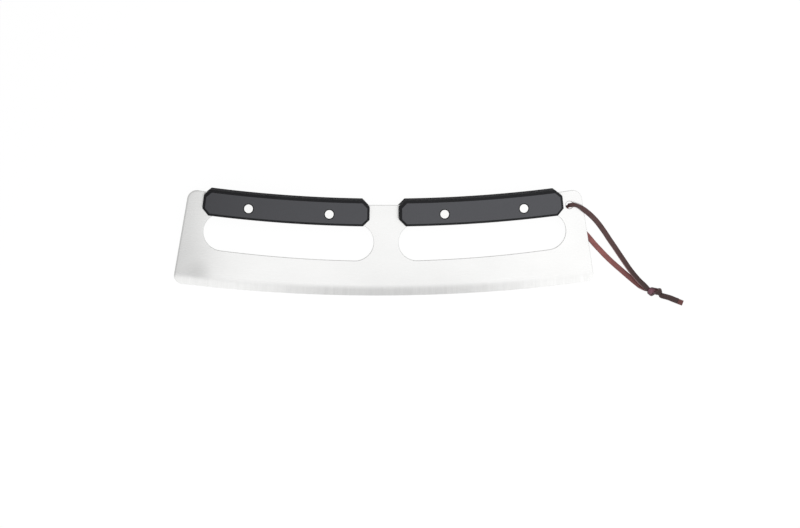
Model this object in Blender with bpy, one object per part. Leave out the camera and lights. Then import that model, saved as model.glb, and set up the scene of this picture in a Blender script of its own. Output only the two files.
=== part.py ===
"""Pizza rocker knife: a wide curved steel blade, two riveted grips and a flat lace through its end hole.

Metres, +Z up.  The knife lies on its back, as on a table: the cutting edge and the back of the grips touch
the table at z = 0, X runs along the blade, and +Y goes from the cutting edge towards the grips.  The origin
is in the middle under the knife, without its lace.

The knife is drawn in its own flat frame and then laid down.  There X runs along the blade, V is the height
above the lowest point of the cutting edge, and W is the distance in front of the plate's middle.  Every long
line of the knife is an arc whose centre is above it, on X = 0.
"""

import math

import bmesh
import bpy
from mathutils import Matrix, Vector

# Fits
FIT_GAP = 0.0003  # between pieces that touch

# Blade
BLADE_WIDTH = 0.350  # across the lower corners, its widest place
PLATE_THICKNESS = 0.0020
CENTRE_HEIGHT = 0.0760  # cutting edge to top edge, at the middle
EDGE_RADIUS = 1.342
TOP_RADIUS = 0.971
END_LEAN = math.radians(10.3)  # the ends spread towards the cutting edge
LOWER_CORNER_RADIUS = 0.0070
TOP_CORNER_RADIUS = 0.0080
EDGE_BREAK = 0.00025  # small chamfer on the plate's edges and on its openings
GRIND_HEIGHT = 0.0094
EDGE_THICKNESS = 0.0004

# Finger slots
TANG_HEIGHT = 0.0157  # strip of plate between a slot and the top edge
SLOT_HEIGHT = 0.0312
BRIDGE_WIDTH = 0.0206  # plate left between the two slots
SLOT_END_MARGIN = 0.0243  # slot's outer end to the blade's widest place

# Grips: each is a front and a back scale
GRIP_RADIUS = 1.148  # of its lower side
GRIP_HEIGHT = 0.0215
GRIP_RISE = 0.0046  # above the plate's top edge, at the middle
GRIP_SETBACK = 0.0019  # a grip is shorter than its slot by this at each end
GRIP_SHIFT = 0.0020  # rivets to the middle of the scale, which is one moulding for all four places
SCALE_THICKNESS = 0.0083
SCALE_CHAMFER = 0.0020
SCALE_CORNER_CUT = 0.0054

# Rivets: a tube half from the front and a post half from the back
RIVET_SPACING = 0.0660
RIVET_DROP = 0.0012  # below the middle line of the scale
RIVET_HEAD_DIAMETER = 0.0077
RIVET_HEAD_THICKNESS = 0.0016
RIVET_HEAD_BREAK = 0.0003
RIVET_RECESS = 0.0002  # head below the scale's face
RIVET_TUBE_DIAMETER = 0.0050
RIVET_POST_DIAMETER = 0.0030
RIVET_BORE_BOTTOM = 0.0010  # left between the tube's bore and the face of its head

# Hole for the lace
HOLE_DIAMETER = 0.0063
HOLE_INSET = 0.0220  # from the blade's widest place
HOLE_DROP = 0.0121  # below the top edge

# Lace
LACE_WIDTH = 0.0045
LACE_THICKNESS = 0.0020
LACE_STEP = 0.0030  # between the points of its tubes
LACE_FLAT_TILT = math.pi / 2  # turns its width level

# Segments
EDGE_SEGMENTS = 40  # along half of the blade
CORNER_SEGMENTS = 8
SLOT_SEGMENTS = 24
SLOT_END_SEGMENTS = 14
GRIP_SEGMENTS = 20
ROUND_SEGMENTS = 32
ROUTE_SEGMENTS = 20  # between two points of a route

# Worked out from the sizes
HALF_WIDTH = BLADE_WIDTH / 2
HALF_PLATE = PLATE_THICKNESS / 2
EDGE_CENTRE = Vector((0.0, EDGE_RADIUS))
TOP_CENTRE = Vector((0.0, CENTRE_HEIGHT + TOP_RADIUS))
SLOT_MID_RADIUS = TOP_RADIUS + TANG_HEIGHT + SLOT_HEIGHT / 2
SLOT_INNER_X = BRIDGE_WIDTH / 2
SLOT_OUTER_X = HALF_WIDTH - SLOT_END_MARGIN
SLOT_MIDDLE_X = (SLOT_INNER_X + SLOT_OUTER_X) / 2
GRIP_LENGTH = SLOT_OUTER_X - SLOT_INNER_X - 2 * GRIP_SETBACK
GRIP_MID_RADIUS = GRIP_RADIUS - GRIP_HEIGHT / 2
GRIP_CENTRE_V = CENTRE_HEIGHT + GRIP_RISE + GRIP_RADIUS - GRIP_HEIGHT
SCALE_INNER_W = HALF_PLATE + FIT_GAP
SCALE_OUTER_W = SCALE_INNER_W + SCALE_THICKNESS
RIVET_FACE_W = SCALE_OUTER_W - RIVET_RECESS
RIVET_SEAT_W = RIVET_FACE_W - RIVET_HEAD_THICKNESS
CUT_MARGIN = 0.002  # a cutter runs past what it cuts
GRIND_OVERRUN = 1.2  # the grinding cutters' length, in blade lengths

FRONT = 1
BACK = -1
SIDES = {"left": -1, "right": 1}
PLACES = {"outer": 1, "inner": -1}

# Route of the lace on the table's frame.  Both halves start in the hole and end at the knot.
FRONT_ROUTE = (
    (0.1521, 0.0297, 0.0119),
    (0.1521, 0.0297, 0.0139),
    (0.1525, 0.0298, 0.0156),
    (0.1543, 0.0301, 0.0166),
    (0.1571, 0.0300, 0.0167),
    (0.1613, 0.0284, 0.0162),
    (0.1657, 0.0256, 0.0148),
    (0.1705, 0.0221, 0.0126),
    (0.1752, 0.0180, 0.0102),
    (0.1797, 0.0131, 0.0081),
    (0.1842, 0.0073, 0.0065),
    (0.1886, 0.0010, 0.0054),
    (0.1930, -0.0051, 0.0046),
    (0.1973, -0.0113, 0.0041),
    (0.2016, -0.0175, 0.0039),
    (0.2060, -0.0238, 0.0039),
    (0.2105, -0.0295, 0.0041),
    (0.2146, -0.0341, 0.0044),
    (0.2182, -0.0375, 0.0048),
    (0.2200, -0.0395, 0.0051),
)
BACK_ROUTE = (
    (0.1523, 0.0298, 0.0115),
    (0.1519, 0.0294, 0.0096),
    (0.1514, 0.0279, 0.0077),
    (0.1515, 0.0253, 0.0064),
    (0.1524, 0.0222, 0.0056),
    (0.1547, 0.0190, 0.0050),
    (0.1581, 0.0160, 0.0044),
    (0.1621, 0.0126, 0.0038),
    (0.1663, 0.0085, 0.0031),
    (0.1707, 0.0040, 0.0024),
    (0.1766, -0.0027, 0.0015),
    (0.1810, -0.0073, 0.0012),
    (0.1852, -0.0117, 0.0011),
    (0.1895, -0.0159, 0.0011),
    (0.1938, -0.0198, 0.0011),
    (0.1982, -0.0236, 0.0011),
    (0.2027, -0.0275, 0.0011),
    (0.2075, -0.0316, 0.0012),
    (0.2122, -0.0355, 0.0014),
    (0.2165, -0.0388, 0.0018),
    (0.2201, -0.0402, 0.0026),
)
FRONT_TAIL_ROUTE = (
    (0.2338, -0.0463, 0.0044),
    (0.2365, -0.0470, 0.0041),
    (0.2406, -0.0481, 0.0036),
    (0.2440, -0.0495, 0.0034),
    (0.2474, -0.0508, 0.0034),
)
BACK_TAIL_ROUTE = (
    (0.2338, -0.0463, 0.0020),
    (0.2365, -0.0470, 0.0015),
    (0.2406, -0.0482, 0.0012),
    (0.2440, -0.0496, 0.0011),
    (0.2520, -0.0527, 0.0011),
)
KNOT_MIDDLE = Vector((0.2272, -0.0431, 0.0))
KNOT_HEADING = math.radians(-28)
# The knot's turns, as oval sections: along its axis, across it, up, half width and half height
KNOT_SECTIONS = (
    (-0.0068, -0.0009, 0.0044, 0.0020, 0.0022),
    (-0.0060, -0.0009, 0.0050, 0.0026, 0.0028),
    (-0.0040, -0.0008, 0.0054, 0.0034, 0.0036),
    (-0.0020, -0.0007, 0.0050, 0.0039, 0.0040),
    (0.0000, -0.0001, 0.0047, 0.0039, 0.0041),
    (0.0020, 0.0012, 0.0045, 0.0037, 0.0041),
    (0.0040, 0.0016, 0.0042, 0.0032, 0.0035),
    (0.0060, 0.0007, 0.0037, 0.0025, 0.0025),
    (0.0068, 0.0005, 0.0036, 0.0020, 0.0021),
)


def clear_scene():
    for thing in list(bpy.data.objects):
        bpy.data.objects.remove(thing)


def make_material(name, colour, roughness, metallic):
    material = bpy.data.materials.new(name)
    material.use_nodes = True
    shader = material.node_tree.nodes["Principled BSDF"]
    shader.inputs["Base Color"].default_value = (*colour, 1.0)
    shader.inputs["Roughness"].default_value = roughness
    shader.inputs["Metallic"].default_value = metallic
    return material


def steel(name):
    return make_material(name + "_steel", (0.80, 0.80, 0.79), 0.25, 1.0)


def black_plastic(name):
    return make_material(name + "_plastic", (0.055, 0.055, 0.055), 0.5, 0.0)


def lace_fabric(name):
    return make_material(name + "_lace", (0.085, 0.045, 0.05), 0.85, 0.0)


def add_object(name, data, material):
    thing = bpy.data.objects.new(name, data)
    thing.data.materials.append(material)
    bpy.context.scene.collection.objects.link(thing)
    return thing


def loft(name, rings, material):
    """A closed body through rings of as many points each, with a flat face on its first and last ring."""
    shape = bmesh.new()
    loops = [[shape.verts.new(point) for point in ring] for ring in rings]
    count = len(loops[0])
    for lower, upper in zip(loops, loops[1:]):
        for i in range(count):
            j = (i + 1) % count
            shape.faces.new((lower[i], lower[j], upper[j], upper[i]))
    shape.faces.new(loops[0])
    shape.faces.new(loops[-1])
    bmesh.ops.recalc_face_normals(shape, faces=shape.faces)
    mesh = bpy.data.meshes.new(name)
    shape.to_mesh(mesh)
    shape.free()
    return add_object(name, mesh, material)


def shade(thing, degrees=30):
    thing.data.shade_smooth()
    thing.data.set_sharp_from_angle(angle=math.radians(degrees))


def cut(thing, cutter):
    cutter.hide_render = True
    cutter.display_type = "WIRE"
    cutter.parent = thing.parent
    boolean = thing.modifiers.new(cutter.name, "BOOLEAN")
    boolean.operation = "DIFFERENCE"
    boolean.solver = "EXACT"
    boolean.object = cutter


def arc(centre, radius, start, end, segments):
    """Points round a centre, from one direction to another; both ends are included."""
    points = []
    for i in range(segments + 1):
        angle = start + (end - start) * i / segments
        points.append(centre + radius * Vector((math.cos(angle), math.sin(angle))))
    return points


def direction(start, end):
    step = end - start
    return math.atan2(step.y, step.x)


def at_depth(points, w):
    return [Vector((point.x, point.y, w)) for point in points]


def lower_corner_centre():
    x = HALF_WIDTH - LOWER_CORNER_RADIUS
    return Vector((x, EDGE_RADIUS - math.sqrt((EDGE_RADIUS - LOWER_CORNER_RADIUS) ** 2 - x ** 2)))


def top_corner_centre():
    """Centre of the arc that touches the leaning end and the top edge."""
    outward = Vector((math.cos(END_LEAN), math.sin(END_LEAN)))
    along = Vector((-outward.y, outward.x))
    reach = outward.dot(lower_corner_centre()) + LOWER_CORNER_RADIUS - TOP_CORNER_RADIUS
    across = reach - outward.dot(TOP_CENTRE)
    rise = along.dot(TOP_CENTRE) - math.sqrt((TOP_RADIUS + TOP_CORNER_RADIUS) ** 2 - across ** 2)
    return reach * outward + rise * along


def plate_outline(inset):
    """The blade's outline, drawn in by inset all round: its right half from the bottom up, and its mirror."""
    lower = lower_corner_centre()
    upper = top_corner_centre()
    down = -math.pi / 2
    edge_end = direction(EDGE_CENTRE, lower)
    top_end = direction(TOP_CENTRE, upper)
    half = arc(EDGE_CENTRE, EDGE_RADIUS - inset, down, edge_end, EDGE_SEGMENTS)
    half += arc(lower, LOWER_CORNER_RADIUS - inset, edge_end, END_LEAN, CORNER_SEGMENTS)[1:]
    half += arc(upper, TOP_CORNER_RADIUS - inset, END_LEAN, direction(upper, TOP_CENTRE), CORNER_SEGMENTS)
    half += arc(TOP_CENTRE, TOP_RADIUS + inset, top_end, down, EDGE_SEGMENTS)[1:]
    return half + [Vector((-point.x, point.y)) for point in half[-2:0:-1]]


def slot_outline(side, spread):
    """A finger slot that follows the top edge, opened by spread all round."""
    half = SLOT_HEIGHT / 2
    radius = half + spread
    inner_angle = math.asin((SLOT_INNER_X + half) / SLOT_MID_RADIUS) - math.pi / 2
    outer_angle = math.asin((SLOT_OUTER_X - half) / SLOT_MID_RADIUS) - math.pi / 2
    inner = arc(TOP_CENTRE, SLOT_MID_RADIUS, inner_angle, inner_angle, 1)[0]
    outer = arc(TOP_CENTRE, SLOT_MID_RADIUS, outer_angle, outer_angle, 1)[0]
    points = arc(TOP_CENTRE, SLOT_MID_RADIUS + radius, inner_angle, outer_angle, SLOT_SEGMENTS)
    points += arc(outer, radius, outer_angle, outer_angle + math.pi, SLOT_END_SEGMENTS)[1:]
    points += arc(TOP_CENTRE, SLOT_MID_RADIUS - radius, outer_angle, inner_angle, SLOT_SEGMENTS)[1:]
    points += arc(inner, radius, inner_angle + math.pi, inner_angle + 2 * math.pi, SLOT_END_SEGMENTS)[1:-1]
    return [Vector((side * point.x, point.y)) for point in points]


def opening_rings(outline):
    """Rings of a cutter through the plate that also breaks the opening's two edges."""
    beyond = HALF_PLATE + CUT_MARGIN
    return [at_depth(outline(EDGE_BREAK + CUT_MARGIN), -beyond),
            at_depth(outline(0.0), EDGE_BREAK - HALF_PLATE),
            at_depth(outline(0.0), HALF_PLATE - EDGE_BREAK),
            at_depth(outline(EDGE_BREAK + CUT_MARGIN), beyond)]


def circle(centre, radius):
    return arc(centre, radius, 0.0, 2 * math.pi, ROUND_SEGMENTS)[:-1]


def hole_centre():
    x = HALF_WIDTH - HOLE_INSET
    top_edge = TOP_CENTRE.y - math.sqrt(TOP_RADIUS ** 2 - x ** 2)
    return Vector((x, top_edge - HOLE_DROP))


def grind_cutter(name, face, material):
    """What the grinding takes off one face: a thin wedge, swept along the cutting edge."""
    slope = (HALF_PLATE - EDGE_THICKNESS / 2) / GRIND_HEIGHT
    above = GRIND_HEIGHT + CUT_MARGIN
    section = ((EDGE_RADIUS - above, HALF_PLATE + slope * CUT_MARGIN),
               (EDGE_RADIUS + CUT_MARGIN, EDGE_THICKNESS / 2 - slope * CUT_MARGIN),
               (EDGE_RADIUS + CUT_MARGIN, HALF_PLATE + CUT_MARGIN),
               (EDGE_RADIUS - above, HALF_PLATE + CUT_MARGIN))
    reach = math.asin(HALF_WIDTH / EDGE_RADIUS) * GRIND_OVERRUN
    rings = []
    for i in range(2 * EDGE_SEGMENTS + 1):
        angle = reach * (i / EDGE_SEGMENTS - 1)
        ring = [Vector((radius * math.sin(angle), EDGE_RADIUS - radius * math.cos(angle), face * w))
                for radius, w in section]
        rings.append(ring)
    return loft(name, rings, material)


def make_blade(frame):
    material = steel("blade")
    outer = HALF_PLATE - EDGE_BREAK
    rings = [at_depth(plate_outline(EDGE_BREAK), -HALF_PLATE), at_depth(plate_outline(0.0), -outer),
             at_depth(plate_outline(0.0), outer), at_depth(plate_outline(EDGE_BREAK), HALF_PLATE)]
    blade = loft("blade", rings, material)
    blade.parent = frame
    for face, word in ((FRONT, "front"), (BACK, "back")):
        cut(blade, grind_cutter("cut_grind_" + word, face, material))
    for word, side in SIDES.items():
        slot = loft("cut_slot_" + word, opening_rings(lambda spread: slot_outline(side, spread)), material)
        cut(blade, slot)
        for place, step in PLACES.items():
            centre = rivet_centre(side, step)
            tang_hole = loft(f"cut_tang_{word}_{place}", tube_rings(centre, FRONT, tang_hole_profile()), material)
            cut(blade, tang_hole)
    hole = hole_centre()
    lace_hole = loft("cut_lace_hole", opening_rings(lambda spread: circle(hole, HOLE_DIAMETER / 2 + spread)),
                     material)
    cut(blade, lace_hole)
    return blade


def bend(along, up):
    """A point of the grips' arc: its place along the middle line and its height above that line."""
    angle = along / GRIP_MID_RADIUS
    radius = GRIP_MID_RADIUS - up
    return Vector((radius * math.sin(angle), GRIP_CENTRE_V - radius * math.cos(angle)))


def rivets_middle(side):
    return side * GRIP_MID_RADIUS * math.asin(SLOT_MIDDLE_X / GRIP_MID_RADIUS)


def scale_outline(side, inset):
    """A bar with cut corners that follows the grips' arc, drawn in by inset all round."""
    middle = rivets_middle(side) - GRIP_SHIFT
    end = GRIP_LENGTH / 2 - inset
    half = GRIP_HEIGHT / 2 - inset
    corner = SCALE_CORNER_CUT - inset * (2 - math.sqrt(2))
    straight = [-1 + 2 * i / GRIP_SEGMENTS for i in range(GRIP_SEGMENTS + 1)]
    points = [bend(middle + part * (end - corner), -half) for part in straight]
    points += [bend(middle + end, corner - half), bend(middle + end, half - corner)]
    points += [bend(middle - part * (end - corner), half) for part in straight]
    points += [bend(middle - end, half - corner), bend(middle - end, corner - half)]
    return points


def rivet_centre(side, step):
    """Centre of a rivet: step is 1 for the outer one of a grip and -1 for the inner one."""
    return bend(rivets_middle(side) + side * step * RIVET_SPACING / 2, -RIVET_DROP)


def tube_rings(centre, face, profile):
    return [at_depth(circle(centre, radius), face * w) for radius, w in profile]


def tang_hole_profile():
    radius = RIVET_TUBE_DIAMETER / 2 + FIT_GAP
    beyond = HALF_PLATE + CUT_MARGIN
    return ((radius, -beyond), (radius, beyond))


def seat_profile():
    """The scale's rivet hole: the tube's hole, and a wider seat for the head."""
    tube = RIVET_TUBE_DIAMETER / 2 + FIT_GAP
    head = RIVET_HEAD_DIAMETER / 2 + FIT_GAP
    seat = RIVET_SEAT_W - FIT_GAP
    return ((tube, SCALE_INNER_W - CUT_MARGIN), (tube, seat), (head, seat), (head, SCALE_OUTER_W + CUT_MARGIN))


def head_profile():
    head = RIVET_HEAD_DIAMETER / 2
    return ((head - RIVET_HEAD_BREAK, RIVET_FACE_W), (head, RIVET_FACE_W - RIVET_HEAD_BREAK), (head, RIVET_SEAT_W))


def tube_half_profile():
    """The front half of a rivet, from its face inwards: its head, its tube and the bore up the tube."""
    tube = RIVET_TUBE_DIAMETER / 2
    bore = RIVET_POST_DIAMETER / 2 + FIT_GAP
    tube_end = FIT_GAP - RIVET_SEAT_W
    bore_end = RIVET_FACE_W - RIVET_BORE_BOTTOM
    return head_profile() + ((tube, RIVET_SEAT_W), (tube, tube_end), (bore, tube_end), (bore, bore_end))


def post_half_profile():
    """The back half of a rivet, from its face inwards: its head and the post that fills the tube."""
    post = RIVET_POST_DIAMETER / 2
    post_end = RIVET_BORE_BOTTOM + FIT_GAP - RIVET_FACE_W
    return head_profile() + ((post, RIVET_SEAT_W), (post, post_end))


def make_grips(frame):
    for word, side in SIDES.items():
        for face_word, face, half_profile in (("front", FRONT, tube_half_profile()),
                                              ("back", BACK, post_half_profile())):
            name = f"{word}_{face_word}_scale"
            material = black_plastic(name)
            rings = [at_depth(scale_outline(side, 0.0), face * SCALE_INNER_W),
                     at_depth(scale_outline(side, 0.0), face * (SCALE_OUTER_W - SCALE_CHAMFER)),
                     at_depth(scale_outline(side, SCALE_CHAMFER), face * SCALE_OUTER_W)]
            scale = loft(name, rings, material)
            scale.parent = frame
            for place, step in PLACES.items():
                centre = rivet_centre(side, step)
                seat_name = f"cut_seat_{word}_{face_word}_{place}"
                cut(scale, loft(seat_name, tube_rings(centre, face, seat_profile()), material))
                rivet_name = f"{word}_{place}_rivet_{face_word}"
                rivet = loft(rivet_name, tube_rings(centre, face, half_profile), steel(rivet_name))
                rivet.parent = frame
                shade(rivet)


def solid_points(things):
    """The corners of things as they look with their cuts, in their frame's own coordinates."""
    graph = bpy.context.evaluated_depsgraph_get()
    points = []
    for thing in things:
        shown = thing.evaluated_get(graph)
        mesh = shown.to_mesh()
        points += [vertex.co.copy() for vertex in mesh.vertices]
        shown.to_mesh_clear()
    return points


def lay_down(frame):
    """Turns the knife until its cutting edge and its back scales touch the table, and centres it there."""
    solids = [thing for thing in frame.children if not thing.hide_render]
    edge = Vector((0.0, -EDGE_THICKNESS / 2))
    scales = solid_points([thing for thing in solids if thing.name.endswith("_back_scale")])
    tilt = max(math.atan2(edge.y - point.z, point.y - edge.x) for point in scales)
    turned = [Matrix.Rotation(tilt, 3, "X") @ point for point in solid_points(solids)]
    middle_y = (min(point.y for point in turned) + max(point.y for point in turned)) / 2
    frame.rotation_euler = (tilt, 0.0, 0.0)
    frame.location = (0.0, -middle_y, -min(point.z for point in turned))


def smooth_route(route, step):
    """Points about a step apart on one smooth curve through the route."""
    ends = [2 * route[0] - route[1], 2 * route[-1] - route[-2]]
    knots = [ends[0], *route, ends[1]]
    fine = []
    for a, b, c, d in zip(knots, knots[1:], knots[2:], knots[3:]):
        for i in range(ROUTE_SEGMENTS):
            t = i / ROUTE_SEGMENTS
            fine.append(0.5 * (2 * b + (c - a) * t + (2 * a - 5 * b + 4 * c - d) * t ** 2
                               + (3 * b - a - 3 * c + d) * t ** 3))
    fine.append(route[-1])
    reach = [0.0]
    for a, b in zip(fine, fine[1:]):
        reach.append(reach[-1] + (b - a).length)
    count = max(2, round(reach[-1] / step))
    points = []
    for i in range(count + 1):
        goal = reach[-1] * i / count
        after = next(k for k, at in enumerate(reach) if at >= goal - 1e-9)
        before = max(after - 1, 0)
        span = reach[after] - reach[before]
        share = (goal - reach[before]) / span if span else 0.0
        points.append(fine[before].lerp(fine[after], share))
    return points


def make_lace(name, route):
    """A flat lace with rounded sides along its route."""
    curve = bpy.data.curves.new(name, "CURVE")
    curve.dimensions = "3D"
    curve.fill_mode = "FULL"
    curve.bevel_depth = LACE_THICKNESS / 2
    curve.extrude = (LACE_WIDTH - LACE_THICKNESS) / 2
    curve.bevel_resolution = 2
    curve.use_fill_caps = True
    curve.twist_mode = "Z_UP"
    points = smooth_route([Vector(point) for point in route], LACE_STEP)
    spline = curve.splines.new("POLY")
    spline.points.add(len(points) - 1)
    for knot, point in zip(spline.points, points):
        knot.co = (*point, 1.0)
        knot.tilt = LACE_FLAT_TILT
    return add_object(name, curve, lace_fabric(name))


def make_knot():
    """The overhand knot as one solid: ovals on edge across its axis."""
    axis = Vector((math.cos(KNOT_HEADING), math.sin(KNOT_HEADING), 0.0))
    across = Vector((-axis.y, axis.x, 0.0))
    oval = arc(Vector((0.0, 0.0)), 1.0, 0.0, 2 * math.pi, ROUND_SEGMENTS // 2)[:-1]
    rings = []
    for along, aside, up, half_width, half_height in KNOT_SECTIONS:
        centre = KNOT_MIDDLE + axis * along + across * aside + Vector((0.0, 0.0, up))
        rings.append([centre + across * half_width * point.x + Vector((0.0, 0.0, half_height * point.y))
                      for point in oval])
    knot = loft("lanyard_knot", rings, lace_fabric("lanyard_knot"))
    shade(knot, 60)


def main():
    clear_scene()
    frame = bpy.data.objects.new("knife_frame", None)
    bpy.context.scene.collection.objects.link(frame)
    make_blade(frame)
    make_grips(frame)
    lay_down(frame)
    make_lace("lanyard_front_strand", FRONT_ROUTE)
    make_lace("lanyard_back_strand", BACK_ROUTE)
    make_knot()
    make_lace("lanyard_front_tail", FRONT_TAIL_ROUTE)
    make_lace("lanyard_back_tail", BACK_TAIL_ROUTE)


main()
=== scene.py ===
"""Looks of the pizza rocker knife: satin steel blade, moulded black grips, bright rivets and a leather lace.

Metres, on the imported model's frame: the knife lies on its back on a table at z = 0.  The blade and grips are
drawn in the knife's own flat frame (X along the blade, V up from the cutting edge, W out of its front face)
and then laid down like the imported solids.
"""

import math

import bmesh
import bpy
import numpy as np
from mathutils import Matrix, Vector


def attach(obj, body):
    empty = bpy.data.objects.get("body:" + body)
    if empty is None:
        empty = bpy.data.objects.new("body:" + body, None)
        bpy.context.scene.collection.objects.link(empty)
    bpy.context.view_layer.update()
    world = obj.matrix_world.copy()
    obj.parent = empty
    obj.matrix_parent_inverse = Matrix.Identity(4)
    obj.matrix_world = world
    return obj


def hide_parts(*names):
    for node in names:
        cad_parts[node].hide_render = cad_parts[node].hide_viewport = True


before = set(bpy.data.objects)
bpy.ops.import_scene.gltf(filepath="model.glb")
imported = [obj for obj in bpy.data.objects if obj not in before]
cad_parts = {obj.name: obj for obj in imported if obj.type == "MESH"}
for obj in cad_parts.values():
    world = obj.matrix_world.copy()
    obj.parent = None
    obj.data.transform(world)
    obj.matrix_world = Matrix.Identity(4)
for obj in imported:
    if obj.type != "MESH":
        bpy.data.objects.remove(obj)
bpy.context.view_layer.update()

# How the knife lies
KNIFE_TILT = math.radians(8.7292)
KNIFE_PLACE = Vector((0.0, -0.044943, 0.000198))
KNIFE_MATRIX = Matrix.Translation(KNIFE_PLACE) @ Matrix.Rotation(KNIFE_TILT, 4, "X")

# Blade, as in the solids
BLADE_WIDTH = 0.350
PLATE_THICKNESS = 0.0020
CENTRE_HEIGHT = 0.0760
EDGE_RADIUS = 1.342
TOP_RADIUS = 0.971
END_LEAN = math.radians(10.3)
LOWER_CORNER_RADIUS = 0.0070
TOP_CORNER_RADIUS = 0.0080
GRIND_HEIGHT = 0.0094
GRIND_BLEND = 0.0045  # the ground face runs out softly into the flat over this height
EDGE_THICKNESS = 0.0004
EDGE_ROUND = 0.00038  # tumbled edges of the plate and its openings
TANG_HEIGHT = 0.0157
SLOT_HEIGHT = 0.0312
BRIDGE_WIDTH = 0.0206
SLOT_END_MARGIN = 0.0243
HOLE_DIAMETER = 0.0063
HOLE_INSET = 0.0220
HOLE_DROP = 0.0121

# Grips and rivets, as in the solids
FIT_GAP = 0.0003
GRIP_RADIUS = 1.148
GRIP_HEIGHT = 0.0215
GRIP_RISE = 0.0046
GRIP_SETBACK = 0.0019
GRIP_SHIFT = 0.0020
SCALE_THICKNESS = 0.0083
SCALE_CHAMFER = 0.0020
SCALE_CORNER_CUT = 0.0054
SCALE_ROUND = 0.00035  # moulded radius on the scales' edges
ROUND_FROM_ANGLE = math.radians(15)  # edges flatter than this aren't rounded
RIVET_SPACING = 0.0660
RIVET_DROP = 0.0012
RIVET_HEAD_DIAMETER = 0.0077
RIVET_HEAD_THICKNESS = 0.0016
RIVET_RECESS = 0.0002
RIVET_TUBE_DIAMETER = 0.0050
RIVET_SEAT_LIP = EDGE_ROUND / 2  # broken edge of a rivet's seat

# Worked out from the sizes
HALF_WIDTH = BLADE_WIDTH / 2
HALF_PLATE = PLATE_THICKNESS / 2
EDGE_CENTRE = Vector((0.0, EDGE_RADIUS))
TOP_CENTRE = Vector((0.0, CENTRE_HEIGHT + TOP_RADIUS))
GRIND_LINE = EDGE_RADIUS - GRIND_HEIGHT  # from EDGE_CENTRE to where the grinding starts
SLOT_MID_RADIUS = TOP_RADIUS + TANG_HEIGHT + SLOT_HEIGHT / 2
SLOT_INNER_X = BRIDGE_WIDTH / 2
SLOT_OUTER_X = HALF_WIDTH - SLOT_END_MARGIN
SLOT_MIDDLE_X = (SLOT_INNER_X + SLOT_OUTER_X) / 2
GRIP_LENGTH = SLOT_OUTER_X - SLOT_INNER_X - 2 * GRIP_SETBACK
GRIP_MID_RADIUS = GRIP_RADIUS - GRIP_HEIGHT / 2
GRIP_CENTRE_V = CENTRE_HEIGHT + GRIP_RISE + GRIP_RADIUS - GRIP_HEIGHT
SCALE_INNER_W = HALF_PLATE + FIT_GAP
SCALE_OUTER_W = SCALE_INNER_W + SCALE_THICKNESS
RIVET_SEAT_W = SCALE_OUTER_W - RIVET_RECESS - RIVET_HEAD_THICKNESS

# How finely the blade and grips are drawn
EDGE_SEGMENTS = 96
CORNER_SEGMENTS = 16
SLOT_SEGMENTS = 48
SLOT_END_SEGMENTS = 32
GRIP_SEGMENTS = 48
ROUND_SEGMENTS = 64
ROUND_STEPS = 3  # steps of a rounded edge
GRIND_STEPS = 8  # steps of the grinding's soft upper line
GRIND_START = 0.00005  # the grinding's cut starts this far down, or it would only graze the face
GRIND_OVERRUN = 1.2  # the grinding runs on past the blade's ends
CUT_MARGIN = 0.002
BLADE_SHARP_ANGLE = 35
GRIP_SHARP_ANGLE = 40

SIDES = {"left": -1, "right": 1}
FACES = {"front": 1, "back": -1}
PLACES = {"outer": 1, "inner": -1}

# Lace: one flat leather lace, doubled through the hole.  Each half is a cord from the hole, along its strand,
# through the knot and out as a tail.  The routes are those of the solids.
LACE_WIDTH = 0.0045
LACE_THICKNESS = 0.0020
LACE_RING_STEP = 0.0006
LACE_SIDES = 24
LACE_SQUARENESS = 4.5  # exponent of the section's rounded oblong
LACE_HALVES = {"front": 1, "back": -1}  # which way the grain side of each half looks
LACE_NODES = {
    "front": ("lanyard_front_strand", "lanyard_front_tail"),
    "back": ("lanyard_back_strand", "lanyard_knot", "lanyard_back_tail"),
}
HOLE_MIDDLE = (0.1527, 0.0297, 0.0117)  # where the two halves are one lace
STRAND_ROUTES = {
    "front": ((0.1521, 0.0297, 0.0119), (0.1521, 0.0297, 0.0139), (0.1525, 0.0298, 0.0156),
              (0.1543, 0.0301, 0.0166), (0.1571, 0.0300, 0.0167), (0.1613, 0.0284, 0.0162),
              (0.1657, 0.0256, 0.0148), (0.1705, 0.0221, 0.0126), (0.1752, 0.0180, 0.0102),
              (0.1797, 0.0131, 0.0081), (0.1842, 0.0073, 0.0065), (0.1886, 0.0010, 0.0054),
              (0.1930, -0.0051, 0.0046), (0.1973, -0.0113, 0.0041), (0.2016, -0.0175, 0.0039),
              (0.2060, -0.0238, 0.0039), (0.2105, -0.0295, 0.0041), (0.2146, -0.0341, 0.0044),
              (0.2182, -0.0375, 0.0048), (0.2200, -0.0395, 0.0051)),
    "back": ((0.1523, 0.0298, 0.0115), (0.1519, 0.0294, 0.0096), (0.1514, 0.0279, 0.0077),
             (0.1515, 0.0253, 0.0064), (0.1524, 0.0222, 0.0056), (0.1547, 0.0190, 0.0050),
             (0.1581, 0.0160, 0.0044), (0.1621, 0.0126, 0.0038), (0.1663, 0.0085, 0.0031),
             (0.1707, 0.0040, 0.0024), (0.1766, -0.0027, 0.0015), (0.1810, -0.0073, 0.0012),
             (0.1852, -0.0117, 0.0011), (0.1895, -0.0159, 0.0011), (0.1938, -0.0198, 0.0011),
             (0.1982, -0.0236, 0.0011), (0.2027, -0.0275, 0.0011), (0.2075, -0.0316, 0.0012),
             (0.2122, -0.0355, 0.0014), (0.2165, -0.0388, 0.0018), (0.2201, -0.0402, 0.0026)),
}
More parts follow.
